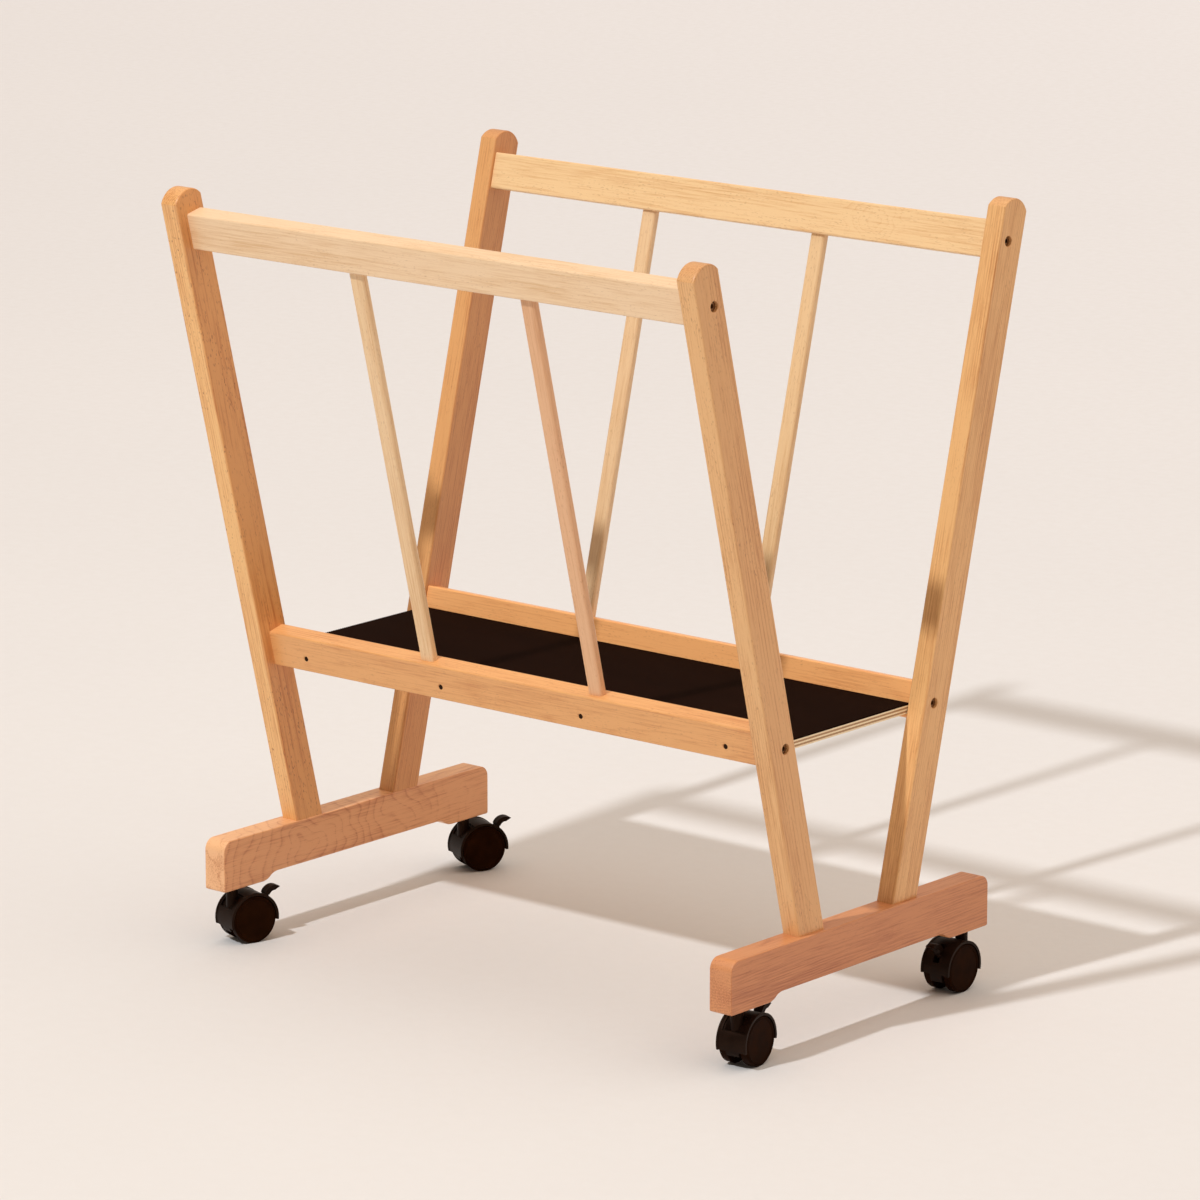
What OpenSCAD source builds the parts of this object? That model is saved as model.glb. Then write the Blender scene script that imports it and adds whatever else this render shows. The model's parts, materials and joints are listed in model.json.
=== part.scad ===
// Wheeled wooden print rack: two leaning slatted frames on two foot beams, with a shelf between
// them, standing on four hooded twin-wheel casters with brake levers. Millimetres, +Z up.
// The origin is on the floor, under the middle of the rack. X runs along the rails, from the left
// side to the right, and +Y goes from the front frame to the back frame.

/* [Rack] */
// Clear width between the left and right posts, which is also the rails' length
rail_len = 660; // [560:10:760]
// Lean of both frames, outward from the vertical
frame_tilt = 14; // [10:1:16]
// Distance from the middle of the rack to a post's centreline, on top of the foot beams
post_foot_y = 76.5; // [72:0.5:90]

/* [Posts] */
// Thickness of a post, along X
post_w = 22; // [20:1:26]
// Depth of a post, across its lean
post_d = 39; // [36:1:44]
// Length of a post from the top of the foot beam to the corner where its rounded top begins
post_shoulder = 711; // [700:1:760]
// Height of the rounded top over that corner
post_crown = 11; // [8:1:14]

/* [Rails] */
// Height of a rail, along the post
rail_h = 39; // [34:1:44]
// Thickness of a rail, across the post
rail_t = 22; // [20:1:24]
// Distance that a rail's outer face is set back from the post's outer face
rail_setback = 13; // [10:0.5:14]
// Distance along the post from the foot beam to the middle of the top rail
top_rail_mid = 677.5; // [660:0.5:680]
// Distance along the post from the foot beam to the middle of the bottom rail
low_rail_mid = 203.5; // [190:0.5:220]
// Radius of the eased long edges of the posts and rails
edge_r = 2; // [1:0.5:3]

/* [Slats] */
// Distance of each slat from the middle of its frame
slat_x = 113.5; // [90:0.5:140]
// Width of a slat
slat_w = 18; // [14:1:22]
// Thickness of a slat
slat_t = 10; // [8:1:12]
// Radius of a slat's long edges
slat_r = 3.5; // [2:0.5:4]
// Length of the stub that goes into each rail
slat_tenon = 12; // [8:1:16]

/* [Shelf] */
// Height of the shelf board's top over the foot beams
shelf_rise = 196; // [186:1:202]
// Thickness of the plywood shelf board
shelf_t = 9; // [8:1:12]
// Thickness of the ribbed mat on the shelf
mat_t = 2; // [1.5:0.5:3]

/* [Foot beams] */
// Length of a foot beam
beam_len = 422; // [400:2:460]
// Distance of a foot beam's middle outward from the middle of its posts
beam_shift = 2; // [0:0.5:3]
// Thickness of a foot beam, along X
beam_w = 28; // [26:1:32]
// Height of a foot beam at its ends
beam_h = 55; // [50:1:60]
// Rise of the shallow arch under a foot beam
arch_rise = 7.5; // [4:0.5:10]
// Length of the flat pad at each end of a foot beam
pad_len = 60; // [52:1:70]
// Radius of the top corners at a foot beam's ends
beam_top_r = 12; // [8:1:16]
// Radius of the bottom corners at a foot beam's ends
beam_low_r = 2.5; // [1:0.5:4]

/* [Casters] */
// Height from the floor to the underside of the foot beams
caster_h = 61.5; // [58:0.5:66]
// Distance of a caster's stem from the end of its foot beam
stem_inset = 26; // [22:1:28]
// Swivel of each caster: front left, front right, back left and back right, in degrees
swivels = [-16, 6, -24, -179]; // [-180:1:180]

/* [Hidden] */
$fn = 64;
eps = 0.01;
far_reach = 60;

CORNERS = [["front_left", -1, -1], ["front_right", 1, -1], ["back_left", -1, 1], ["back_right", 1, 1]];
CASTER_PARTS = ["socket", "stem", "hood", "axle", "left_wheel", "right_wheel", "lever", "lever_pin"];

// Colours
beech = "burlywood";
red_beech = "peru";
steel = "silver";
bronze = "dimgray";
black_plastic = "black";

// Where the frames stand
beam_top_z = caster_h + beam_h;
post_x = rail_len / 2 + post_w / 2;
foot_x = post_x + beam_shift;
crown_r = (pow(post_d / 2, 2) + pow(post_crown, 2)) / (2 * post_crown);
crown_mid = post_shoulder + post_crown - crown_r;
// The round top takes over where its eased rim is as wide as the post's flat side
crown_start = crown_mid + sqrt(pow(crown_r - edge_r, 2) - pow(post_d / 2 - edge_r, 2));
foot_drop = 12;
rail_out = post_d / 2 - rail_setback;
rail_mid = rail_out - rail_t / 2;

// Bolts that hold the posts to the rails and to the foot beams
bolt_r = 3;
bolt_head_r = 5;
bolt_head_t = 4;
sink_r = 5.5;
sink_depth = 7;
hex_r = 2.5;
hex_depth = 2.5;
insert_r = 5;
insert_len = 18;
rail_bolt_reach = 20;
dowel_r = 4;
dowel_len = 30;
dowel_offset = 12;
foot_bolt_reach = 28;

// Screws through the bottom rails into the edges of the shelf
shelf_screw_x = [94.5, 283];
screw_r = 1.75;
screw_head_r = 2.75;
screw_head_t = 2;
screw_sink = 3;
screw_len = 38;
// Distance of these screws along the post, where they meet the middle of the board's edge
shelf_screw_s = (shelf_rise - shelf_t / 2 + rail_out * sin(frame_tilt)) / cos(frame_tilt);

// Arcs of the double curve under a foot beam: a run of three rises and this radius meet exactly
arch_run = 3 * arch_rise;
arch_r = 2.5 * arch_rise;
pad_end = beam_len / 2 - pad_len;
arch_end = pad_end - arch_run;
stem_y = beam_len / 2 - stem_inset;

// Caster: its own X is the axle, its own Y points from the stem towards the brake lever
wheel_r = 25.5;
axle_z = wheel_r;
trail = 18;
spine_half = 7.5;
wheel_in = 8.5;
wheel_out = 17.2;
wheel_chamfer = 1;
groove_r = 23.1;
groove = 0.6;
face_r = 22.2;
face_step = 0.5;
hub_r = 7;
rim_r = 21;
web_in = 13;
axle_r = 3;
axle_half = 15;
run_gap = 0.05;
hood_in_r = 26.2;
hood_r = 28.4;
hood_half = 17.5;
bead_r = 29;
bead_w = 2.2;
pocket_r = 27;
pocket_half = 12.5;
hood_front = 194;
hood_back = -7;
wall_top = 13.5;
roof_front = -10.5;
spine_r = 27.2;
spine_low = -12;
boss_r = 6.5;
boss_top = caster_h - 1.6;
stem_r = 4;
stem_low = 22;
stem_up = 20;
collar_r = 6;
socket_r = 6.5;
socket_len = 16;

// Brake lever: a hook that stands up behind the hood, on a pin across the spine
pin_y = 18.5;
pin_z = 15.5;
pin_r = 1.5;
lever_eye_r = 4;
lever_half = 3.4;
lever_slot_half = 3.7;
pedal_half = 5;
hook_y = 31.3;
hook_z = 18.4;
hook_r = 12;
hook_in_r = 6.5;
hook_start = 160;
hook_stop = 54;
beak_angle = 27;
beak_back = 6.6;

// A rectangle with true round corners
module round_rect(w, h, r) {
    square([w - 2 * r, h], center = true);
    square([w, h - 2 * r], center = true);
    for (x = [-1, 1], y = [-1, 1]) translate([x * (w / 2 - r), y * (h / 2 - r)]) circle(r);
}

// Puts its children in a frame's leaning axes: X along the rails, Y outward, Z up along the posts
module lean(side) {
    mirror([0, side < 0 ? 1 : 0, 0])
        translate([0, post_foot_y, beam_top_z])
            rotate([-frame_tilt, 0, 0])
                children();
}

// Turns a child that stands on Z into one that points along X, away from the middle of the rack
module outward(side) {
    rotate([0, 90 * side, 0]) children();
}

// Side view of a foot beam, drawn with Y to the right and the underside at 0
module beam_outline() {
    intersection() {
        union() {
            translate([-beam_len / 2, arch_rise]) square([beam_len, beam_h - arch_rise]);
            for (s = [0, 1]) mirror([s, 0]) beam_pad();
        }
        union() {
            translate([-beam_len / 2 + beam_top_r, 0])
                square([beam_len - 2 * beam_top_r, beam_h]);
            translate([-beam_len / 2, beam_low_r])
                square([beam_len, beam_h - beam_low_r - beam_top_r]);
            for (s = [0, 1]) mirror([s, 0]) {
                translate([beam_len / 2 - beam_top_r, beam_h - beam_top_r]) circle(beam_top_r);
                translate([beam_len / 2 - beam_low_r, beam_low_r]) circle(beam_low_r);
                translate([beam_len / 2 - beam_top_r - eps, 0])
                    square([beam_top_r - beam_low_r + eps, beam_top_r]);
            }
        }
    }
}

// The pad at one end of a foot beam and the double curve that joins it to the arch
module beam_pad() {
    translate([pad_end, 0]) square([pad_len, arch_rise + 1]);
    intersection() {
        translate([pad_end - arch_run / 2, 0]) square([arch_run / 2, arch_rise + 1]);
        translate([pad_end, arch_r]) circle(arch_r, $fn = 180);
    }
    difference() {
        translate([arch_end, 0]) square([arch_run / 2, arch_rise + 1]);
        translate([arch_end, arch_rise - arch_r]) circle(arch_r, $fn = 180);
    }
}

module foot_beam(side) {
    difference() {
        translate([side * foot_x, 0, caster_h])
            rotate([90, 0, 90])
                linear_extrude(beam_w, center = true) beam_outline();
        for (y = [-1, 1]) {
            translate([side * foot_x, y * stem_y, caster_h]) {
                translate([0, 0, -1]) cylinder(r = socket_r, h = socket_len + 1);
                cylinder(r = stem_r + 0.5, h = stem_up + 3);
            }
            translate([side * post_x, y * post_foot_y, caster_h]) {
                cylinder(r = bolt_r, h = beam_h + 1);
                cylinder(r = sink_r, h = arch_rise + sink_depth);
            }
        }
    }
}

// A post's round top, a disc across the post whose rim is eased like the long edges
module crown_disc() {
    rotate([0, 90, 0]) rotate_extrude() {
        translate([0, -post_w / 2]) square([crown_r - edge_r, post_w]);
        translate([0, -post_w / 2 + edge_r]) square([crown_r, post_w - 2 * edge_r]);
        for (s = [-1, 1]) translate([crown_r - edge_r, s * (post_w / 2 - edge_r)]) circle(edge_r);
    }
}

module post(side_x, side_y) {
    difference() {
        lean(side_y) translate([side_x * post_x, 0, 0]) difference() {
            intersection() {
                translate([0, 0, -foot_drop])
                    linear_extrude(foot_drop + post_shoulder + post_crown + 1)
                        round_rect(post_w, post_d, edge_r);
                union() {
                    translate([-post_w, -post_d, -foot_drop - 1])
                        cube([2 * post_w, 2 * post_d, foot_drop + 1 + crown_start]);
                    translate([0, 0, crown_mid]) crown_disc();
                }
            }
            for (s = [low_rail_mid, top_rail_mid]) translate([0, rail_mid, s]) outward(side_x) {
                translate([0, 0, -post_w / 2 - 1]) cylinder(r = bolt_r, h = post_w + 2);
                translate([0, 0, post_w / 2 - sink_depth]) cylinder(r = sink_r, h = sink_depth + 1);
                translate([dowel_offset, 0, -post_w / 2 - 1]) cylinder(r = dowel_r, h = dowel_len / 2 + 1);
            }
        }
        translate([side_x * post_x - post_w, side_y * post_foot_y - post_d, beam_top_z - 2 * foot_drop])
            cube([2 * post_w, 2 * post_d, 2 * foot_drop]);
        translate([side_x * post_x, side_y * post_foot_y, beam_top_z - 1])
            cylinder(r = insert_r, h = foot_bolt_reach + 3);
    }
}

module rail(side, mid) {
    difference() {
        lean(side) translate([0, rail_mid, mid]) difference() {
            rotate([90, 0, 90])
                linear_extrude(rail_len, center = true) round_rect(rail_t, rail_h, edge_r);
            for (s = [-1, 1]) translate([s * rail_len / 2, 0, 0]) outward(s) {
                translate([0, 0, -insert_len - 4]) cylinder(r = insert_r, h = insert_len + 5);
                translate([dowel_offset, 0, -dowel_len / 2]) cylinder(r = dowel_r, h = dowel_len);
            }
        }
        for (x = [-slat_x, slat_x]) slat_bar(x, side);
        if (mid == low_rail_mid) shelf_screw_holes(side);
    }
}

// A slat's bar, from the bottom of its lower stub to the top of its upper one
module slat_bar(x, side) {
    low = low_rail_mid + rail_h / 2 - slat_tenon;
    high = top_rail_mid - rail_h / 2 + slat_tenon;
    lean(side) translate([x, rail_mid, low]) linear_extrude(high - low) round_rect(slat_w, slat_t, slat_r);
}

// Puts its children at each shelf screw, with Z pointing inward, level, from the rail's outer face
module at_shelf_screws(side) {
    for (x = shelf_screw_x, s = [-1, 1])
        lean(side)
            translate([s * x, rail_out, shelf_screw_s])
                rotate([90 + frame_tilt, 0, 0])
                    children();
}

module shelf_screw_holes(side) {
    at_shelf_screws(side) {
        cylinder(r = screw_r, h = screw_len);
        translate([0, 0, -screw_sink]) cylinder(r = screw_head_r, h = 2 * screw_sink);
    }
}

// Distance from the middle of the rack to a bottom rail's inner face at a height over the foot beams
function rail_inner_y(z) =
    post_foot_y + z * tan(frame_tilt) + (rail_mid - rail_t / 2) / cos(frame_tilt);

module shelf_slab(low, high) {
    rotate([90, 0, 90]) linear_extrude(rail_len, center = true) translate([0, beam_top_z])
        polygon([
            [-rail_inner_y(low), low], [rail_inner_y(low), low],
            [rail_inner_y(high), high], [-rail_inner_y(high), high]
        ]);
}

module shelf_board() {
    color(beech) difference() {
        shelf_slab(shelf_rise - shelf_t, shelf_rise);
        for (side = [-1, 1]) at_shelf_screws(side) cylinder(r = screw_r, h = screw_len);
    }
}

module shelf_mat() {
    color(bronze) shelf_slab(shelf_rise, shelf_rise + mat_t);
}

// Puts its children at each joint between a post and a rail, with Z pointing out of the post
module at_rail_joints() {
    for (side_x = [-1, 1], side_y = [-1, 1], s = [low_rail_mid, top_rail_mid])
        lean(side_y) translate([side_x * rail_len / 2, rail_mid, s]) outward(side_x) children();
}

// A socket-head bolt that points down from the origin's plane, head up
module hex_bolt(len) {
    difference() {
        cylinder(r = bolt_head_r, h = bolt_head_t);
        translate([0, 0, bolt_head_t - hex_depth]) cylinder(r = hex_r, h = hex_depth + 1, $fn = 6);
    }
    translate([0, 0, -len]) cylinder(r = bolt_r, h = len + eps);
}

module rail_bolts() {
    color(bronze) at_rail_joints() translate([0, 0, post_w - sink_depth])
        hex_bolt(post_w - sink_depth + rail_bolt_reach);
}

// A threaded bush sunk into the end grain of a rail, around the bolt
module insert_bush(len) {
    difference() {
        cylinder(r = insert_r, h = len);
        translate([0, 0, -1]) cylinder(r = bolt_r, h = len + 2);
    }
}

module rail_inserts() {
    color(steel) at_rail_joints() translate([0, 0, -insert_len]) insert_bush(insert_len);
}

module rail_dowels() {
    color(beech) at_rail_joints() translate([dowel_offset, 0, -dowel_len / 2 + 0.5])
        cylinder(r = dowel_r, h = dowel_len - 1);
}

// Puts its children under each post, on top of the foot beam
module at_post_feet() {
    for (side_x = [-1, 1], side_y = [-1, 1])
        translate([side_x * post_x, side_y * post_foot_y, beam_top_z]) children();
}

module foot_bolts() {
    head_drop = beam_h - arch_rise - sink_depth;
    color(bronze) at_post_feet() translate([0, 0, -head_drop]) rotate([180, 0, 0])
        hex_bolt(head_drop + foot_bolt_reach);
}

module foot_inserts() {
    color(steel) at_post_feet() insert_bush(insert_len);
}

module shelf_screws() {
    color(bronze) for (side = [-1, 1]) at_shelf_screws(side) {
        translate([0, 0, screw_sink - screw_head_t]) cylinder(r = screw_head_r, h = screw_head_t);
        translate([0, 0, screw_sink - eps]) cylinder(r = screw_r, h = screw_len - screw_sink);
    }
}

// ---- Casters ----

// Puts its children at a corner's stem, turned to that caster's swivel
module at_caster(i) {
    translate([CORNERS[i][1] * foot_x, CORNERS[i][2] * stem_y, 0]) rotate([0, 0, swivels[i]]) children();
}

// The same, with the origin on the axle
module at_axle(i) {
    at_caster(i) translate([0, trail, axle_z]) children();
}

// Draws a side view, with Y to the right, and makes it a solid that is centred on the caster
module across(width) {
    rotate([90, 0, 90]) linear_extrude(width, center = true) children();
}

// A round-ended sector, from one angle to another
module ring_sector(r_in, r_out, from, to) {
    steps = 5;
    difference() {
        intersection() {
            circle(r_out);
            polygon(concat(
                [[0, 0]],
                [for (k = [0:steps]) let (a = from + (to - from) * k / steps) far_reach * [cos(a), sin(a)]]
            ));
        }
        circle(r_in);
    }
}

module caster_socket(i) {
    color(steel) at_caster(i) translate([0, 0, caster_h]) difference() {
        cylinder(r = socket_r, h = socket_len);
        translate([0, 0, -1]) cylinder(r = stem_r, h = socket_len + 2);
    }
}

module caster_stem(i) {
    color(steel) at_caster(i) {
        translate([0, 0, stem_low]) cylinder(r = stem_r, h = caster_h + stem_up - stem_low);
        translate([0, 0, boss_top + 0.4]) cylinder(r = collar_r, h = caster_h - boss_top - 0.4);
    }
}

// The hood's sections across its width: from the middle, the spine, the pocket, the roof and the bead
module spine_section() {
    intersection() {
        circle(spine_r);
        translate([-2 * spine_r, spine_low]) square([4 * spine_r, 3 * spine_r]);
    }
    roof_section();
}

module hood_section(r) {
    ring_sector(hood_in_r, r, hood_back, hood_front);
}

module roof_section() {
    difference() {
        hood_section(hood_r);
        translate([-2 * hood_r, wall_top]) square([2 * hood_r + roof_front, 2 * hood_r]);
    }
}

module pocket_section() {
    hood_section(pocket_r);
    roof_section();
}

// A slab of the hood on both sides, between two distances from the middle of the caster
module both_sides(near, far) {
    for (s = [-1, 1]) translate([s * (near + far) / 2, 0, 0]) across(far - near) children();
}

// The hood: a spine between the wheels, a roof over them, a front wall and two beaded edges
module caster_hood(i) {
    color(black_plastic) difference() {
        union() {
            at_axle(i) {
                across(2 * spine_half) spine_section();
                both_sides(spine_half, pocket_half) pocket_section();
                both_sides(pocket_half, hood_half - bead_w) hood_section(hood_r);
                both_sides(hood_half - bead_w, hood_half) hood_section(bead_r);
            }
            at_caster(i) translate([0, 0, axle_z]) cylinder(r = boss_r, h = boss_top - axle_z);
        }
        at_caster(i) translate([0, 0, stem_low - 1]) cylinder(r = stem_r + run_gap, h = caster_h);
        at_axle(i) {
            rotate([0, 90, 0]) cylinder(r = axle_r, h = 4 * spine_half, center = true);
            across(2 * lever_slot_half) lever_slot();
            at_lever_pin() cylinder(r = pin_r, h = 4 * spine_half, center = true);
        }
    }
}

// Room for the lever's arm in the spine and the roof
module lever_slot() {
    translate([pin_y - 6.5, pin_z - 6.5]) square([20, 30]);
}

// Puts its children on the lever's pin, with Z along it
module at_lever_pin() {
    translate([0, pin_y, pin_z]) rotate([0, 90, 0]) children();
}

module caster_axle(i) {
    color(steel) at_axle(i) rotate([0, 90, 0]) cylinder(r = axle_r, h = 2 * axle_half, center = true);
}

// Half section of a wheel: radius to the right, distance from the middle of the caster upward
module wheel_section() {
    difference() {
        polygon([
            [0, wheel_in], [hub_r, wheel_in], [hub_r, web_in], [rim_r, web_in], [rim_r, wheel_in],
            [wheel_r, wheel_in], [wheel_r, wheel_out - wheel_chamfer],
            [wheel_r - wheel_chamfer, wheel_out], [face_r, wheel_out],
            [face_r - face_step, wheel_out - face_step], [0, wheel_out - face_step]
        ]);
        square([axle_r + run_gap, axle_half + 0.5]);
        translate([groove_r, wheel_out - groove]) square([groove, 1]);
    }
}

module caster_wheel(i, side) {
    color(black_plastic) at_axle(i) rotate([0, 90 * side, 0]) rotate_extrude($fn = 96) wheel_section();
}

// Side view of the lever's narrow arm, from the pin to the foot of the hook
module lever_arm() {
    translate([pin_y, pin_z]) circle(lever_eye_r);
    polygon([
        [pin_y - lever_eye_r, pin_z], [pin_y + lever_eye_r, pin_z],
        [hook_y - hook_in_r, hook_z], [hook_y - hook_r, hook_z]
    ]);
    translate([hook_y, hook_z]) ring_sector(hook_in_r, hook_r, hook_start, 180);
}

// Side view of the wide pedal, the rest of the hook, whose tip is cut to a beak
module lever_pedal() {
    translate([hook_y, hook_z]) difference() {
        ring_sector(hook_in_r, hook_r, hook_stop, hook_start);
        translate([hook_r * cos(hook_stop), hook_r * sin(hook_stop)])
            rotate(beak_angle)
                translate([-beak_back, -far_reach])
                    square([2 * beak_back, far_reach]);
    }
}

module caster_lever(i) {
    color(black_plastic) at_axle(i) difference() {
        union() {
            across(2 * lever_half) lever_arm();
            across(2 * pedal_half) lever_pedal();
        }
        at_lever_pin() cylinder(r = pin_r + run_gap, h = 4 * pedal_half, center = true);
    }
}

module caster_lever_pin(i) {
    color(steel) at_axle(i) at_lever_pin() cylinder(r = pin_r, h = 2 * spine_half, center = true);
}

color(red_beech) foot_beam(-1);  // left_foot_beam
color(red_beech) foot_beam(1);  // right_foot_beam
for (c = CORNERS) color(beech) post(c[1], c[2]);
color(beech) rail(-1, top_rail_mid);  // front_top_rail
color(beech) rail(-1, low_rail_mid);  // front_bottom_rail
color(beech) rail(1, top_rail_mid);  // back_top_rail
color(beech) rail(1, low_rail_mid);  // back_bottom_rail
color(beech) slat_bar(-slat_x, -1);  // front_left_slat
color(beech) slat_bar(slat_x, -1);  // front_right_slat
color(beech) slat_bar(-slat_x, 1);  // back_left_slat
color(beech) slat_bar(slat_x, 1);  // back_right_slat
shelf_board();
shelf_mat();
rail_bolts();
rail_inserts();
rail_dowels();
foot_bolts();
foot_inserts();
shelf_screws();
for (i = [0:3]) {
    caster_socket(i);
    caster_stem(i);
    caster_hood(i);
    caster_axle(i);
    caster_wheel(i, -1);
    caster_wheel(i, 1);
    caster_lever(i);
    caster_lever_pin(i);
}
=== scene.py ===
import json
import math

import bmesh
import bpy
from mathutils import Euler, Matrix, Vector


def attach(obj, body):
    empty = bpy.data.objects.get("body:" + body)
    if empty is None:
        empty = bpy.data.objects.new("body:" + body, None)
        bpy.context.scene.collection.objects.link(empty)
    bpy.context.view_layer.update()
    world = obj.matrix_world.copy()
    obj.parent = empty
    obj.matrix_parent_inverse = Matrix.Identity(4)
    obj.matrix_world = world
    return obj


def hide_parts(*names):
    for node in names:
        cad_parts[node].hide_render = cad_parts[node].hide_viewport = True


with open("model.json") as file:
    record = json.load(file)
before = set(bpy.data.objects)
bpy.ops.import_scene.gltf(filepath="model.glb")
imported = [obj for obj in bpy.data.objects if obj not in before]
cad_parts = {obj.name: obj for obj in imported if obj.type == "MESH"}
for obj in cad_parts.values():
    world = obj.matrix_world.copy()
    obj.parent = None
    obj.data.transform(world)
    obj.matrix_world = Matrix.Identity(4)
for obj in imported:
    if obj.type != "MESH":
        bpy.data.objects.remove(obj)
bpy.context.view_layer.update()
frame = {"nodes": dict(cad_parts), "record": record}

# Millimetres, as in the CAD model. Meshes are scaled to metres when they are made
MM = 0.001
TILT = math.radians(14)
RAIL_LEN = 660
POST_FOOT_Y = 76.5
POST_W, POST_D, POST_SHOULDER, POST_CROWN = 22, 39, 711, 11
RAIL_H, RAIL_T, RAIL_SETBACK = 39, 22, 13
TOP_MID, LOW_MID = 677.5, 203.5
EDGE_R = 2
SLAT_X, SLAT_W, SLAT_T, SLAT_R = 113.5, 18, 10, 3.5
SHELF_RISE, SHELF_T, MAT_T = 196, 9, 2
BEAM_LEN, BEAM_W, BEAM_H = 422, 28, 55
ARCH_RISE, PAD_LEN, BEAM_TOP_R, BEAM_LOW_R = 7.5, 60, 12, 2.5
CASTER_H = 61.5
BEAM_TOP = CASTER_H + BEAM_H
POST_X = RAIL_LEN / 2 + POST_W / 2
BEAM_SHIFT = 2
RAIL_OUT = POST_D / 2 - RAIL_SETBACK
RAIL_MID = RAIL_OUT - RAIL_T / 2
SINK_R, SINK_DEPTH = 5.5, 7
SCREW_HEAD_R, SCREW_SINK, SCREW_EASE = 2.75, 3, 0.7
SCREW_X = (94.5, 283)
SLAT_INTO_RAIL = 1
BEAM_EDGE, BOARD_EDGE, CASTER_EDGE = 1.2, 0.3, 0.3
MAT_RIBS, MAT_BASE_T, MAT_MARGIN = 72, 1.35, 0.6
MAT_SIDE_INSET = 0.15
# A rib's outline, as shares of the pitch and heights
RIB_SECTION = (
    (0, MAT_BASE_T), (0.12, 1.75), (0.28, 1.97), (0.4, MAT_T), (0.52, 1.97), (0.68, 1.75), (0.8, MAT_BASE_T)
)
FLOOR_HALF = 30000
MERGE_GAP, WELD_GAP = 0.0001, 0.005

# The key light's power in watts is 4 pi times this
KEY_STRENGTH = 1.88
# The shine on the casters and the mat is brownish
WARM_SHINE = (1.0, 0.6, 0.42, 1)


# ---------------------------------------------------------------- mesh helpers
def arc(cx, cy, r, start, end, steps):
    """Points on an arc, both ends included."""
    angles = [math.radians(start + (end - start) * k / steps) for k in range(steps + 1)]
    return [(cx + r * math.cos(a), cy + r * math.sin(a)) for a in angles]


def rounded_rect(w, h, r, steps=6):
    """The outline of a rectangle round the origin, with rounded corners."""
    points = []
    for sx, sy, start in ((1, 1, 0), (-1, 1, 90), (-1, -1, 180), (1, -1, 270)):
        points += arc(sx * (w / 2 - r), sy * (h / 2 - r), r, start, start + 90, steps)
    return points


def link(name, data):
    """Puts a new object with this data into the scene."""
    obj = bpy.data.objects.new(name, data)
    bpy.context.scene.collection.objects.link(obj)
    return obj


def new_object(name, bm, matrix=None):
    """Makes an object in metres from a bmesh in millimetres, with doubles merged and faces turned outward."""
    bmesh.ops.remove_doubles(bm, verts=bm.verts, dist=MERGE_GAP)
    bmesh.ops.recalc_face_normals(bm, faces=bm.faces)
    bmesh.ops.scale(bm, vec=(MM, MM, MM), verts=bm.verts)
    mesh = bpy.data.meshes.new(name)
    bm.to_mesh(mesh)
    bm.free()
    obj = link(name, mesh)
    if matrix is not None:
        obj.matrix_world = matrix
    return obj


def smooth(obj, angle=32):
    """Smooth faces, with an edge left sharp where the surface turns by more than the angle in degrees."""
    obj.data.polygons.foreach_set("use_smooth", [True] * len(obj.data.polygons))
    obj.data.set_sharp_from_angle(angle=math.radians(angle))


def ease_edges(obj, width, segments=2, angle=30):
    """A bevel on the edges where the surface turns by more than the angle in degrees."""
    mod = obj.modifiers.new("eased edges", "BEVEL")
    mod.width = width * MM
    mod.segments = segments
    mod.limit_method = "ANGLE"
    mod.angle_limit = math.radians(angle)


def bake(obj):
    """Applies the modifiers to the mesh."""
    bpy.context.view_layer.update()
    evaluated = obj.evaluated_get(bpy.context.evaluated_depsgraph_get())
    mesh = bpy.data.meshes.new_from_object(evaluated)
    obj.modifiers.clear()
    obj.data = mesh


def even_normals(obj):
    """Large flat faces keep their own normals beside the small ones on a rounded edge."""
    mod = obj.modifiers.new("even normals", "WEIGHTED_NORMAL")
    mod.keep_sharp = True
    mod.weight = 90


def bridge(bm, first, last):
    """Adds a closed solid between two outlines that have the same number of points."""
    first = [bm.verts.new(point) for point in first]
    last = [bm.verts.new(point) for point in last]
    for i in range(len(first)):
        k = (i + 1) % len(first)
        bm.faces.new((first[i], first[k], last[k], last[i]))
    bm.faces.new(first[::-1])
    bm.faces.new(last)


def prism(bm, outline, x0, x1):
    """Adds a solid between two planes across local X. The outline is in local Y and Z."""
    bridge(bm, [(x0, y, z) for y, z in outline], [(x1, y, z) for y, z in outline])


def lathe(bm, profile, place, steps=40):
    """Adds a closed solid round local Z. The profile is pairs of radius and height, from axis to axis."""
    turns = [2 * math.pi * k / steps for k in range(steps)]
    rings = []
    for r, z in profile:
        if r == 0:
            rings.append([bm.verts.new(place @ Vector((0, 0, z)))])
        else:
            rings.append([bm.verts.new(place @ Vector((r * math.cos(a), r * math.sin(a), z))) for a in turns])
    for a, b in zip(rings, rings[1:]):
        for k in range(steps):
            n = (k + 1) % steps
            quad = [a[k % len(a)], a[n % len(a)], b[n % len(b)], b[k % len(b)]]
            corners = list(dict.fromkeys(quad))
            if len(corners) > 2:
                bm.faces.new(corners)


def carve(obj, cutters):
    """Takes the lathed cutters, each a profile and a placing in the object's own axes, out of an object."""
    bm = bmesh.new()
    for profile, place in cutters:
        lathe(bm, profile, place)
    tool = new_object("tool", bm, obj.matrix_world)
    mod = obj.modifiers.new("cut", "BOOLEAN")
    mod.object = tool
    mod.solver = "EXACT"
    mod.operation = "DIFFERENCE"
    bake(obj)
    bpy.data.objects.remove(tool)


def pocket(r, depth, ease=0.35):
    """Profile of a cutter for a round recess with an eased mouth, down local -Z from the face at 0."""
    return [(0, -depth), (r, -depth), (r, -ease), (r + ease, 0), (r + ease, 2), (0, 2)]


def axes(x, y, z, origin):
    """A placing in metres from three axes and an origin in millimetres."""
    m = Matrix((x, y, z)).transposed().to_4x4()
    m.translation = Vector(origin) * MM
    return m


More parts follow.
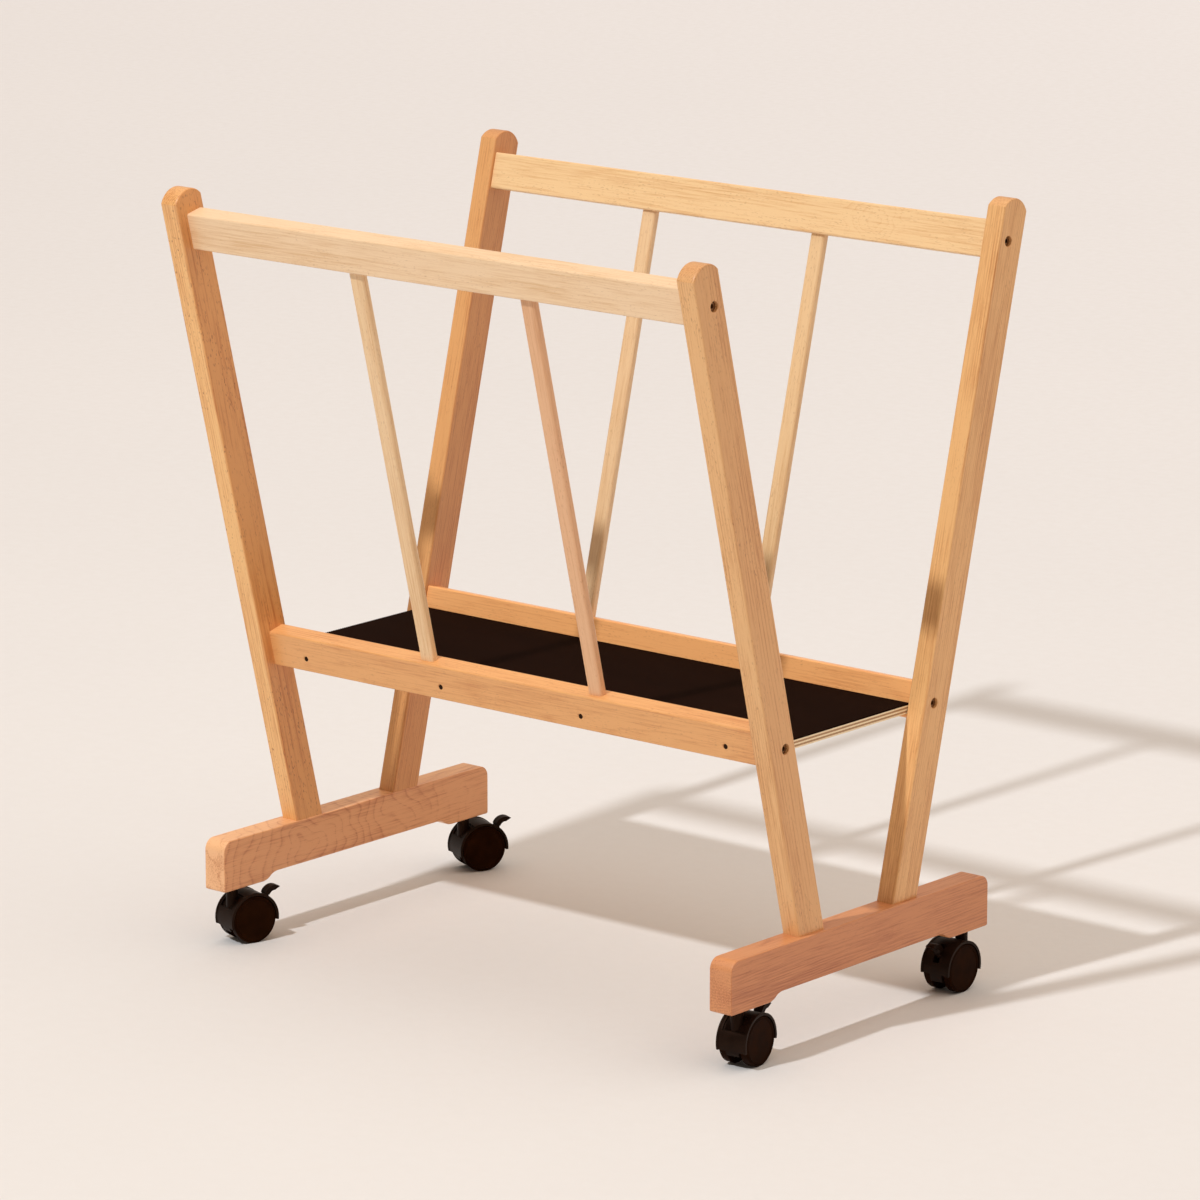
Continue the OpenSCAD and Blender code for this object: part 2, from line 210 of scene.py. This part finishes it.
# ---------------------------------------------------------------- shader helpers
class Nodes:
    """A material with short calls for its nodes. An input takes a socket, which is linked, or a value."""

    def __init__(self, name):
        self.mat = bpy.data.materials.new(name)
        self.mat.use_nodes = True
        self.tree = self.mat.node_tree
        self.bsdf = self.tree.nodes["Principled BSDF"]

    def add(self, kind, inputs=None, **settings):
        node = self.tree.nodes.new(kind)
        for key, value in settings.items():
            setattr(node, key, value)
        for key, value in (inputs or {}).items():
            self.put(node.inputs[key], value)
        return node

    def put(self, socket, value):
        if isinstance(value, bpy.types.NodeSocket):
            self.tree.links.new(value, socket)
        else:
            socket.default_value = value

    def math(self, operation, a, b=0.0, clamp=False):
        node = self.add("ShaderNodeMath", {0: a, 1: b}, operation=operation, use_clamp=clamp)
        return node.outputs[0]

    def vector(self, operation, a, b=(0, 0, 0), output=0):
        return self.add("ShaderNodeVectorMath", {0: a, 1: b}, operation=operation).outputs[output]

    def mix(self, factor, a, b, blend="MIX"):
        """Mixes two colours. The node takes colours on its inputs 6 and 7 and gives one on its output 2."""
        node = self.add("ShaderNodeMix", {0: factor}, data_type="RGBA", blend_type=blend)
        self.put(node.inputs[6], a)
        self.put(node.inputs[7], b)
        return node.outputs[2]

    def spread(self, value, low, high, to_low=0.0, to_high=1.0):
        """Maps one range to another, and holds the value inside it."""
        node = self.add("ShaderNodeMapRange", {0: value, 1: low, 2: high, 3: to_low, 4: to_high})
        return node.outputs[0]

    def swing(self, noise, to_low=0.0, to_high=1.0):
        """Maps the middle of a noise, where most of its values lie, to a range."""
        return self.spread(noise, 0.3, 0.7, to_low, to_high)

    def coordinates(self, scale=(1, 1, 1), location=(0, 0, 0), rotation=(0, 0, 0), source=None):
        if source is None:
            source = self.add("ShaderNodeTexCoord").outputs["Object"]
        placing = {"Vector": source, "Location": location, "Rotation": rotation, "Scale": scale}
        return self.add("ShaderNodeMapping", placing).outputs[0]

    def noise(self, vector, scale=1.0, detail=2.0, roughness=0.5):
        return self.add(
            "ShaderNodeTexNoise", {"Vector": vector, "Scale": scale, "Detail": detail, "Roughness": roughness}
        ).outputs[0]

    def bump(self, height, distance, strength):
        node = self.add("ShaderNodeBump", {"Height": height, "Distance": distance, "Strength": strength})
        return node.outputs[0]

    def ramp(self, factor, stops):
        node = self.add("ShaderNodeValToRGB", {0: factor})
        while len(node.color_ramp.elements) < len(stops):
            node.color_ramp.elements.new(0.5)
        for element, (position, value) in zip(node.color_ramp.elements, stops):
            element.position = position
            element.color = (value, value, value, 1)
        return node.outputs[0]


def rgba(color):
    return (*color, 1)


def around_tone(n, mask, color, change):
    """The colour, varied by a mask from darker to lighter by a share of itself."""
    return n.mix(mask, rgba([c * (1 - change) for c in color]), rgba([c * (1 + change) for c in color]))


def growth_lines(n, vector, pitch, wander, detail_scale, shape):
    """Thin dark lines at the edge of each growth ring, as a factor from 0 to 1."""
    # A wave texture at scale 1 has a ring every 0.314 units
    rings = n.add(
        "ShaderNodeTexWave",
        {"Vector": vector, "Scale": 0.314 / (pitch * MM), "Distortion": wander, "Detail": 2.5,
         "Detail Scale": detail_scale, "Detail Roughness": 0.55},
        wave_type="RINGS", rings_direction=shape, wave_profile="SAW",
    ).outputs["Fac"]
    return n.ramp(rings, [(0.0, 0.3), (0.1, 0.0), (0.5, 0.1), (0.8, 0.34), (0.92, 1.0), (1.0, 0.5)])


def ring_eye(n, here, late, place, reach, loop_pitch):
    """Turns the growth lines into rings that close round a place, as where a saw cuts through a swelling."""
    around = n.vector("SUBTRACT", here, [c * MM for c in place])
    around = n.vector("MULTIPLY", around, (0.72, 1, 1))
    drift = n.add("ShaderNodeTexNoise", {"Vector": around, "Scale": 3.1 / (reach * MM), "Detail": 1.5})
    drift = n.vector("SUBTRACT", drift.outputs["Color"], (0.5, 0.5, 0.5))
    drift = n.vector("MULTIPLY", drift, [reach * 0.38 * MM] * 3)
    loops = growth_lines(n, n.vector("ADD", around, drift), loop_pitch, 4, 0.8, "SPHERICAL")
    far = n.vector("LENGTH", around, output=1)
    bend = n.swing(n.noise(n.coordinates(scale=(30, 30, 30), source=here), 1, 2), 0.7, 1.3)
    near = n.spread(n.math("MULTIPLY", far, bend), reach * 0.6 * MM, reach * MM, 1, 0)
    return n.mix(near, late, loops)


def wood(name, pale, deep, seed, pitch=2.6, pith=(0, 30), lean=(0.0, 0.0), figure=0.5, wander=9, eye=None,
         flecked=0.3, end_grain_and_side_shade=(0, 0, 0)):
    """Beech, with the grain along local X: rings round a pith line, fibres, a slow change of tone, flecks.

    seed picks the place in the log. pitch is the width of a ring and pith the distance to the heart of the
    log, in millimetres. lean tilts that heart line, in radians. figure is the strength of the rings, and
    wander is how far they stray. eye is a place in millimetres that the rings close round, with its reach
    and its own pitch. flecked is the strength of the flecks. The last argument is how much darker and
    redder the faces across local X, Y and Z are: across X the end grain's own deeper tone, across Y and Z
    painted shade on the side faces that the key light misses."""
    n = Nodes(name)
    here = n.add("ShaderNodeTexCoord").outputs["Object"]
    log = n.coordinates(
        location=(seed * 0.37, pith[0] * MM, pith[1] * MM), rotation=(0, lean[0], lean[1]), source=here
    )
    stretched = n.coordinates(scale=(0.09, 1, 1), source=log)
    late = growth_lines(n, stretched, pitch, wander, pitch * 0.055, "X")
    strength = n.noise(n.coordinates(scale=(5, 38, 38), location=(0, seed, seed), source=here), 1, 2)
    late = n.math("MULTIPLY", late, n.swing(strength, 0.25, 1.2))
    if eye is not None:
        late = ring_eye(n, here, late, *eye)
    slow = n.noise(n.coordinates(scale=(4, 26, 26), location=(seed, seed, 0), source=here), 1, 3)
    fibre = n.noise(n.coordinates(scale=(18, 560, 560), location=(seed, 0, seed), source=here), 1, 3, 0.65)
    pores = n.noise(n.coordinates(scale=(80, 1300, 1300), location=(0, seed, seed), source=here), 1, 1)
    flecks = n.noise(n.coordinates(scale=(230, 950, 950), location=(seed, 2 * seed, 0), source=here), 1, 0)
    patchy = n.noise(n.coordinates(scale=(14, 60, 60), location=(seed, 0, 0), source=here), 1, 1)
    fleck = n.math("MULTIPLY", n.spread(flecks, 0.68, 0.76), n.spread(patchy, 0.38, 0.62, 0.15, 1))
    tone = n.math("MULTIPLY", late, figure)
    tone = n.math("ADD", tone, n.swing(slow, -0.38, 0.38))
    tone = n.math("ADD", tone, n.swing(fibre, -0.55, 0.55))
    tone = n.math("ADD", tone, n.spread(pores, 0.58, 0.78, 0, 0.32), clamp=True)
    color = n.mix(tone, rgba(pale), rgba(deep))
    fleck_tone = rgba([c * f for c, f in zip(deep, (0.55, 0.42, 0.35))])
    color = n.mix(n.math("MULTIPLY", fleck, flecked), color, fleck_tone)
    facing = n.vector("ABSOLUTE", n.add("ShaderNodeTexCoord").outputs["Normal"])
    # Painted shade: side faces across local Y and Z are made darker and redder, as where the key light falls
    # little; across local X this is the end grain's own deeper tone
    end_grain_and_shade_tint = n.vector("DOT_PRODUCT", facing, end_grain_and_side_shade, output=1)
    color = n.mix(end_grain_and_shade_tint, color, (0.80, 0.62, 0.50, 1), "MULTIPLY")
    n.put(n.bsdf.inputs["Base Color"], color)
    n.put(n.bsdf.inputs["Roughness"], n.swing(fibre, 0.36, 0.46))
    n.bsdf.inputs["Coat Weight"].default_value = 0.3
    n.bsdf.inputs["Coat Roughness"].default_value = 0.3
    height = n.math("SUBTRACT", n.math("MULTIPLY", fibre, 0.5), n.math("MULTIPLY", fleck, 0.4))
    n.put(n.bsdf.inputs["Normal"], n.bump(height, 0.0001, 0.6))
    return n.mat


def plastic(name, color, rough=0.36, mottle=0.25, grain=0.00004, shine=0.3):
    """Moulded nylon, with a fine grain and a slight change of tone."""
    n = Nodes(name)
    n.bsdf.inputs["Specular IOR Level"].default_value = shine
    n.bsdf.inputs["Specular Tint"].default_value = WARM_SHINE
    cloud = n.noise(n.coordinates(scale=(70, 70, 70)), 1, 3)
    fine = n.noise(n.coordinates(scale=(2500, 2500, 2500)), 1, 2)
    n.put(n.bsdf.inputs["Base Color"], around_tone(n, n.swing(cloud), color, mottle))
    n.put(n.bsdf.inputs["Roughness"], n.swing(cloud, rough - 0.05, rough + 0.07))
    n.put(n.bsdf.inputs["Normal"], n.bump(fine, grain, 0.5))
    return n.mat


def metal(name, color, rough=0.32, streak=0.15):
    """Plated or blacked steel, with fine turning marks and slight stains."""
    n = Nodes(name)
    cloud = n.noise(n.coordinates(scale=(160, 160, 160)), 1, 4)
    marks = n.noise(n.coordinates(scale=(900, 900, 5200)), 1, 2)
    n.put(n.bsdf.inputs["Base Color"], around_tone(n, n.spread(cloud, 0.35, 0.65), color, streak))
    n.bsdf.inputs["Metallic"].default_value = 1.0
    n.put(n.bsdf.inputs["Roughness"], n.swing(cloud, rough - 0.06, rough + 0.1))
    n.put(n.bsdf.inputs["Normal"], n.bump(marks, 0.00003, 0.5))
    return n.mat


def plywood(name):
    """Thin plies that show at the bare edges, under a sanded face with its grain along X."""
    n = Nodes(name)
    here = n.add("ShaderNodeTexCoord").outputs["Object"]
    z = n.add("ShaderNodeSeparateXYZ", {0: here}).outputs[2]
    ply = SHELF_T * MM / 5
    wobble = n.noise(n.coordinates(scale=(60, 60, 200), source=here), 1, 2)
    level = n.math("ADD", z, n.spread(wobble, 0, 1, -0.00012, 0.00012))
    turns = n.math("MULTIPLY", level, math.pi / ply)
    cross = n.spread(n.math("SINE", turns), -0.06, 0.06)
    glue = n.spread(n.math("ABSOLUTE", n.math("SINE", turns)), 0.0, 0.22, 1, 0)
    fibre = n.noise(n.coordinates(scale=(25, 800, 800), source=here), 1, 3)
    face = n.mix(n.swing(fibre), (0.86, 0.66, 0.42, 1), (0.72, 0.50, 0.28, 1))
    pale = n.mix(n.swing(fibre), (0.96, 0.82, 0.58, 1), (0.85, 0.66, 0.42, 1))
    dark = n.mix(n.swing(fibre), (0.52, 0.29, 0.14, 1), (0.36, 0.19, 0.085, 1))
    color = n.mix(cross, dark, pale)
    color = n.mix(n.math("MULTIPLY", glue, 0.55), color, (0.16, 0.08, 0.035, 1))
    normal = n.add("ShaderNodeNewGeometry").outputs["True Normal"]
    facing = n.math("ABSOLUTE", n.add("ShaderNodeSeparateXYZ", {0: normal}).outputs[2])
    color = n.mix(n.spread(facing, 0.9, 0.95), color, face)
    n.put(n.bsdf.inputs["Base Color"], color)
    n.bsdf.inputs["Roughness"].default_value = 0.6
    n.put(n.bsdf.inputs["Normal"], n.bump(fibre, 0.00015, 0.6))
    return n.mat


def matting(name):
    """A black-brown mat, with a fine woven grain over its ribs."""
    n = Nodes(name)
    here = n.add("ShaderNodeTexCoord").outputs["Object"]
    fine = n.noise(n.coordinates(scale=(1400, 2600, 1400), source=here), 1, 2)
    broad = n.noise(n.coordinates(scale=(7, 20, 7), source=here), 1, 3)
    cross = n.add(
        "ShaderNodeTexWave", {"Vector": here, "Scale": 300, "Distortion": 0.6, "Detail": 1},
        wave_type="BANDS", bands_direction="X",
    ).outputs["Fac"]
    n.put(n.bsdf.inputs["Base Color"], n.mix(
        n.spread(n.math("ADD", fine, n.math("MULTIPLY", broad, 0.5)), 0.4, 1.1),
        (0.005, 0.0014, 0.0007, 1), (0.014, 0.0045, 0.0022, 1),
    ))
    n.bsdf.inputs["Specular IOR Level"].default_value = 0.04
    n.bsdf.inputs["Specular Tint"].default_value = WARM_SHINE
    n.put(n.bsdf.inputs["Roughness"], n.swing(fine, 0.62, 0.8))
    height = n.math("ADD", fine, n.math("MULTIPLY", cross, 0.6))
    n.put(n.bsdf.inputs["Normal"], n.bump(height, 0.0001, 0.6))
    return n.mat


def studio_floor(name):
    """A pale matt floor with a fine grit, and painted light that makes it paler towards the back."""
    n = Nodes(name)
    cloud = n.noise(n.coordinates(scale=(0.9, 0.9, 0.9)), 1, 4)
    grit = n.noise(n.coordinates(scale=(60, 60, 60)), 1, 5, 0.6)
    here = n.add("ShaderNodeTexCoord").outputs["Object"]
    # Painted light: the floor turns paler towards the back, where the key lamp lights it less
    far = n.spread(n.add("ShaderNodeSeparateXYZ", {0: here}).outputs[1], -1, 8)
    near_tone = n.mix(n.swing(cloud), (0.67, 0.66, 0.655, 1), (0.695, 0.685, 0.68, 1))
    color = n.mix(far, near_tone, (0.92, 0.94, 0.995, 1))
    color = n.mix(n.spread(grit, 0.35, 0.65, 0, 0.12), color, (0.655, 0.63, 0.61, 1))
    n.put(n.bsdf.inputs["Base Color"], color)
    n.bsdf.inputs["Roughness"].default_value = 0.7
    n.bsdf.inputs["Specular IOR Level"].default_value = 0.2
    n.put(n.bsdf.inputs["Normal"], n.bump(grit, 0.0008, 0.4))
    return n.mat


def paint(obj, material):
    obj.data.materials.clear()
    obj.data.materials.append(material)


def settle(obj, node, material):
    """A finished piece takes its material, the root body and the place of its CAD node."""
    paint(obj, material)
    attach(obj, "root")
    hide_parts(node)


# ---------------------------------------------------------------- timber
def lean_axes(side):
    """A leaning frame's directions: outward across the posts, and up along them."""
    out = Vector((0, side * math.cos(TILT), -math.sin(TILT)))
    up = Vector((0, side * math.sin(TILT), math.cos(TILT)))
    return out, up


def lean_point(side, x, y, s):
    """A place on a leaning frame: x along the rails, y outward and s up from the foot of the posts."""
    out, up = lean_axes(side)
    return Vector((x, side * POST_FOOT_Y, BEAM_TOP)) + out * y + up * s


def post(name, side_x, side_y, material):
    """A post with its grain along local X, its depth along local Y and a round top, eased on every side."""
    crown_r = ((POST_D / 2) ** 2 + POST_CROWN ** 2) / (2 * POST_CROWN)
    crown_mid = POST_SHOULDER + POST_CROWN - crown_r
    half_d, half_w = POST_D / 2 - EDGE_R, POST_W / 2 - EDGE_R
    corner = arc(half_d, half_w, EDGE_R, 0, 90, 6)
    steps = 28
    straight = [(half_d - 2 * half_d * k / steps, POST_W / 2) for k in range(1, steps)]
    rows = corner + straight + [(-y, z) for y, z in corner[::-1]]
    # Lines across the top, as shares of the half width, and closer together where the edge is rounded
    rounded = [half_w / (POST_W / 2), 0.87, 0.92, 0.96, 0.985, 1]
    columns = [-u for u in rounded[::-1]] + [-0.4, 0, 0.4] + rounded

    def top(y, z):
        over = max(abs(z) - half_w, 0)
        r = crown_r - EDGE_R + math.sqrt(max(EDGE_R ** 2 - over ** 2, 0))
        return crown_mid + math.sqrt(r ** 2 - y ** 2)

    bm = bmesh.new()
    grid = [[bm.verts.new((top(y, z * u), y, z * u)) for u in columns] for y, z in rows]
    foot = [[bm.verts.new((y * math.tan(TILT), y, z * s)) for s in (-1, 1)] for y, z in rows]
    for a, b in zip(grid, grid[1:]):
        for k in range(len(columns) - 1):
            bm.faces.new((a[k], a[k + 1], b[k + 1], b[k]))
    for a, b, low_a, low_b in zip(grid, grid[1:], foot, foot[1:]):
        bm.faces.new((a[0], b[0], low_b[0], low_a[0]))
        bm.faces.new((a[-1], low_a[1], low_b[1], b[-1]))
    for end, low in ((grid[0], foot[0]), (grid[-1], foot[-1])):
        bm.faces.new([low[0]] + end + [low[1]])
    bm.faces.new([low[0] for low in foot] + [low[1] for low in foot[::-1]])
    out, up = lean_axes(side_y)
    x_axis = up.cross(out)
    obj = new_object(name, bm, axes(up, out, x_axis, lean_point(side_y, side_x * POST_X, 0, 0)))
    outward = side_x * (1 if x_axis.x > 0 else -1)
    turn = Matrix.Identity(4) if outward > 0 else Matrix.Rotation(math.pi, 4, "X")
    cuts = []
    for s in (LOW_MID, TOP_MID):
        bolt = Matrix.Translation((s, RAIL_MID, outward * POST_W / 2))
        cuts.append((pocket(SINK_R, SINK_DEPTH), bolt @ turn))
    carve(obj, cuts)
    smooth(obj)
    even_normals(obj)
    settle(obj, name, material)


def rail(name, side, mid, material):
    """A rail with its grain along local X and its height along local Z."""
    bm = bmesh.new()
    prism(bm, rounded_rect(RAIL_T, RAIL_H, EDGE_R), -RAIL_LEN / 2, RAIL_LEN / 2)
    out, up = lean_axes(side)
    along = out.cross(up)
    obj = new_object(name, bm, axes(along, out, up, lean_point(side, 0, RAIL_MID, mid)))
    if mid == LOW_MID:
        level = (SHELF_RISE - SHELF_T / 2 + RAIL_OUT * math.sin(TILT)) / math.cos(TILT)
        turn = Matrix.Rotation(TILT - math.pi / 2, 4, "X")
        cuts = []
        for x in (-SCREW_X[1], -SCREW_X[0], SCREW_X[0], SCREW_X[1]):
            screw = Matrix.Translation((x, RAIL_T / 2, level - mid))
            cuts.append((pocket(SCREW_HEAD_R, SCREW_SINK, SCREW_EASE), screw @ turn))
        carve(obj, cuts)
    smooth(obj)
    even_normals(obj)
    settle(obj, name, material)


def slat(name, x, side, material):
    """A slat with its grain along local X. Its ends stop just inside the rails."""
    low = LOW_MID + RAIL_H / 2 - SLAT_INTO_RAIL
    high = TOP_MID - RAIL_H / 2 + SLAT_INTO_RAIL
    bm = bmesh.new()
    prism(bm, rounded_rect(SLAT_T, SLAT_W, SLAT_R, 8), low, high)
    out, up = lean_axes(side)
    obj = new_object(name, bm, axes(up, out, up.cross(out), lean_point(side, x, RAIL_MID, 0)))
    smooth(obj)
    even_normals(obj)
    settle(obj, name, material)


def foot_beam(name, side, material):
    """A foot beam with its grain along local X, a shallow arch under it and softly eased edges."""
    end = BEAM_LEN / 2
    pad = end - PAD_LEN
    # At each end, the arch rises over three times its own height, by two equal arcs that meet in a slope
    run = 3 * ARCH_RISE
    r = 2.5 * ARCH_RISE
    meet = math.degrees(math.asin(0.6))
    half = arc(end - BEAM_TOP_R, BEAM_H - BEAM_TOP_R, BEAM_TOP_R, 90, 0, 10)
    half += arc(end - BEAM_LOW_R, BEAM_LOW_R, BEAM_LOW_R, 0, -90, 5)
    half += arc(pad, r, r, -90, -90 - meet, 6)
    half += arc(pad - run, ARCH_RISE - r, r, 90 - meet, 90, 6)[1:]
    outline = half + [(-x, z) for x, z in half[::-1]]
    bm = bmesh.new()
    bridge(bm, [(x, -BEAM_W / 2, z) for x, z in outline], [(x, BEAM_W / 2, z) for x, z in outline])
    middle = (side * (POST_X + BEAM_SHIFT), 0, CASTER_H)
    obj = new_object(name, bm, axes(Vector((0, 1, 0)), Vector((-1, 0, 0)), Vector((0, 0, 1)), middle))
    ease_edges(obj, BEAM_EDGE, 3, 50)
    bake(obj)
    down = Matrix.Rotation(math.pi, 4, "X")
    carve(obj, [
        (pocket(SINK_R, SINK_DEPTH), Matrix.Translation((y, side * BEAM_SHIFT, ARCH_RISE)) @ down)
        for y in (-POST_FOOT_Y, POST_FOOT_Y)
    ])
    smooth(obj)
    even_normals(obj)
    settle(obj, name, material)


def rail_inner_y(z):
    """How far from the middle the rails' inner faces are, at a height over the foot beams."""
    return POST_FOOT_Y + z * math.tan(TILT) + (RAIL_MID - RAIL_T / 2) / math.cos(TILT)


def shelf_board(name, material):
    """The board, with its long edges cut to the slope of the bottom rails' inner faces."""
    low = SHELF_RISE - SHELF_T
    outline = [(-rail_inner_y(low), 0), (rail_inner_y(low), 0),
               (rail_inner_y(SHELF_RISE), SHELF_T), (-rail_inner_y(SHELF_RISE), SHELF_T)]
    bm = bmesh.new()
    prism(bm, outline, -RAIL_LEN / 2, RAIL_LEN / 2)
    obj = new_object(name, bm, Matrix.Translation((0, 0, (BEAM_TOP + low) * MM)))
    ease_edges(obj, BOARD_EDGE)
    smooth(obj)
    even_normals(obj)
    settle(obj, name, material)


def shelf_mat(name, material):
    """The mat: low round ribs along X on a thin base, made as one section."""
    half = rail_inner_y(SHELF_RISE)
    wide = rail_inner_y(SHELF_RISE + MAT_T)
    pitch = 2 * (half - MAT_MARGIN) / MAT_RIBS
    outline = [(-half, 0), (half, 0), (wide - MAT_SIDE_INSET, MAT_BASE_T)]
    for k in range(MAT_RIBS):
        y = half - MAT_MARGIN - k * pitch
        outline += [(y - pitch * share, height) for share, height in RIB_SECTION]
    outline.append((-wide + MAT_SIDE_INSET, MAT_BASE_T))
    bm = bmesh.new()
    prism(bm, outline, -RAIL_LEN / 2, RAIL_LEN / 2)
    obj = new_object(name, bm, Matrix.Translation((0, 0, (BEAM_TOP + SHELF_RISE) * MM)))
    smooth(obj, 60)
    settle(obj, name, material)


# Each piece has its own board: a tone, a place in the log and a strength of figure. The posts and foot beams
# also get painted shade on their side faces
TAN, DEEP = (0.81, 0.465, 0.20), (0.57, 0.235, 0.07)
post("front_left_post", -1, -1, wood(
    "beech_front_left_post", (0.93, 0.54, 0.215), (0.64, 0.25, 0.068), 1.3, pith=(22, 60), figure=0.72,
    flecked=0.8, end_grain_and_side_shade=(0.5, 0, 0.9)))
post("front_right_post", 1, -1, wood(
    "beech_front_right_post", TAN, DEEP, 2.9, 2.2, (60, 90), figure=0.85, flecked=0.45,
    end_grain_and_side_shade=(0.5, 0, 0.35)))
post("back_left_post", -1, 1, wood(
    "beech_back_left_post", (0.76, 0.385, 0.145), (0.52, 0.185, 0.05), 4.1, pith=(50, 34), figure=0.72,
    end_grain_and_side_shade=(0.5, 0, 0.6)))
post("back_right_post", 1, 1, wood(
    "beech_back_right_post", (0.82, 0.465, 0.19), DEEP, 5.7, 2.4, (44, 40), figure=0.8,
    end_grain_and_side_shade=(0.4, 0, 0.1)))
rail("front_top_rail", -1, TOP_MID, wood(
    "beech_front_top_rail", (0.90, 0.65, 0.41), (0.74, 0.46, 0.23), 6.2, 3.0, (120, 20), figure=0.36))
rail("front_bottom_rail", -1, LOW_MID, wood(
    "beech_front_bottom_rail", (0.82, 0.41, 0.15), (0.61, 0.235, 0.07), 7.9, 2.4, (38, 16), (0.01, 0.03),
    figure=0.35))
rail("back_top_rail", 1, TOP_MID, wood(
    "beech_back_top_rail", (0.90, 0.615, 0.325), (0.72, 0.40, 0.165), 8.4, 3.2, (46, 26), (0.0, 0.02),
    figure=0.42, eye=((188, -11, 2), 36, 7)))
rail("back_bottom_rail", 1, LOW_MID, wood(
    "beech_back_bottom_rail", (0.96, 0.47, 0.175), (0.74, 0.28, 0.085), 9.6, 2.8, (40, 30), figure=0.4))
slat("front_left_slat", -SLAT_X, -1, wood(
    "beech_front_left_slat", (0.88, 0.62, 0.36), (0.72, 0.42, 0.19), 10.3, 2.8, (60, 30), figure=0.25))
slat("front_right_slat", SLAT_X, -1, wood(
    "beech_front_right_slat", (0.80, 0.46, 0.25), (0.64, 0.31, 0.14), 11.8, 2.8, (50, 40), figure=0.25))
slat("back_left_slat", -SLAT_X, 1, wood(
    "beech_back_left_slat", (0.86, 0.59, 0.34), (0.70, 0.41, 0.19), 12.5, 2.8, (70, 30), figure=0.25))
slat("back_right_slat", SLAT_X, 1, wood(
    "beech_back_right_slat", (0.84, 0.57, 0.31), (0.68, 0.39, 0.17), 13.1, 2.8, (40, 50), figure=0.25))
foot_beam("left_foot_beam", -1, wood(
    "beech_left_foot_beam", (0.90, 0.50, 0.25), (0.58, 0.215, 0.08), 14.6, 5, (20, 32), (0.09, 0.05),
    figure=0.6, eye=((-86, -14, 22), 170, 12), flecked=0.15, end_grain_and_side_shade=(0, 0.7, 0)))
foot_beam("right_foot_beam", 1, wood(
    "beech_right_foot_beam", (0.66, 0.275, 0.11), (0.43, 0.135, 0.047), 15.9, 3.0, (14, 60), (0.035, 0.05),
    figure=0.7, wander=14, flecked=0.15, end_grain_and_side_shade=(0, 0.4, 0)))
shelf_board("shelf_board", plywood("plywood_edges"))
shelf_mat("shelf_mat", matting("ribbed_mat"))

# ---------------------------------------------------------------- CAD nodes that keep their shape
finishes = {
    "caster_black": plastic("caster_hood_plastic", (0.010, 0.0046, 0.0028), 0.42, shine=0.12),
    "wheel_black": plastic("caster_wheel_plastic", (0.016, 0.0048, 0.0014), 0.42, 0.3, shine=0.02),
    "black_steel": metal("bronzed_steel", (0.24, 0.13, 0.06)),
    "zinc_steel": metal("zinc_plate", (0.60, 0.60, 0.61)),
    "dowel_wood": wood("beech_dowels", TAN, DEEP, 16.4),
}
blued_steel = metal("blued_steel", (0.035, 0.018, 0.011), 0.45)
slots = {s["node"]: s["material_slot"] for s in frame["record"]["subparts"]}
for node, obj in frame["nodes"].items():
    if not obj.hide_render:
        paint(obj, blued_steel if node == "shelf_screws" else finishes[slots[node]])
        if node.endswith(("_hood", "_lever", "_wheel")):
            weld = obj.modifiers.new("weld", "WELD")
            weld.merge_threshold = WELD_GAP * MM
            ease_edges(obj, CASTER_EDGE, 2, 40)
            even_normals(obj)

# ---------------------------------------------------------------- floor, light and camera
bm = bmesh.new()
bmesh.ops.create_grid(bm, x_segments=8, y_segments=8, size=FLOOR_HALF)
floor = new_object("studio_floor", bm)
paint(floor, studio_floor("studio_floor"))

# The ambient light is dimmer from the front
world = bpy.data.worlds.new("studio")
bpy.context.scene.world = world
world.use_nodes = True
sky = world.node_tree
background = sky.nodes["Background"]
background.inputs["Color"].default_value = (1.0, 0.85, 0.72, 1)
direction = sky.nodes.new("ShaderNodeTexCoord")
split = sky.nodes.new("ShaderNodeSeparateXYZ")
dim = sky.nodes.new("ShaderNodeMapRange")
for socket, value in zip(dim.inputs[1:5], (-0.9, 0.2, 0.14, 0.51)):
    socket.default_value = value
sky.links.new(direction.outputs["Generated"], split.inputs[0])
sky.links.new(split.outputs[1], dim.inputs[0])
sky.links.new(dim.outputs[0], background.inputs["Strength"])

# The key is a small lamp in front. It is as strong far away as it is near, so that the floor stays even
key = link("key", bpy.data.lights.new("key", "POINT"))
key.location = (-0.21, -2.89, 3.40)
key.data.energy = 4 * math.pi * KEY_STRENGTH
key.data.shadow_soft_size = 0.08
key.data.color = (0.96, 0.98, 0.99)
key.data.use_nodes = True
lamp = key.data.node_tree
falloff = lamp.nodes.new("ShaderNodeLightFalloff")
falloff.inputs["Strength"].default_value = 1
lamp.links.new(falloff.outputs["Constant"], lamp.nodes["Emission"].inputs["Strength"])

fill = link("fill", bpy.data.lights.new("fill", "SUN"))
fill.rotation_euler = Euler((math.radians(-10), math.radians(12), 0))
fill.data.energy = 1.45
fill.data.angle = math.radians(100)
fill.data.color = (1.0, 0.87, 0.75)

camera = link("camera", bpy.data.cameras.new("camera"))
camera.location = (4.045, -4.789, 1.8666)
camera.rotation_euler = Euler((math.radians(76.755), 0, math.radians(40.114)))
camera.data.lens = 186.9
camera.data.sensor_width = 36
camera.data.clip_end = 100
bpy.context.scene.camera = camera
bpy.context.scene.view_settings.view_transform = "Standard"
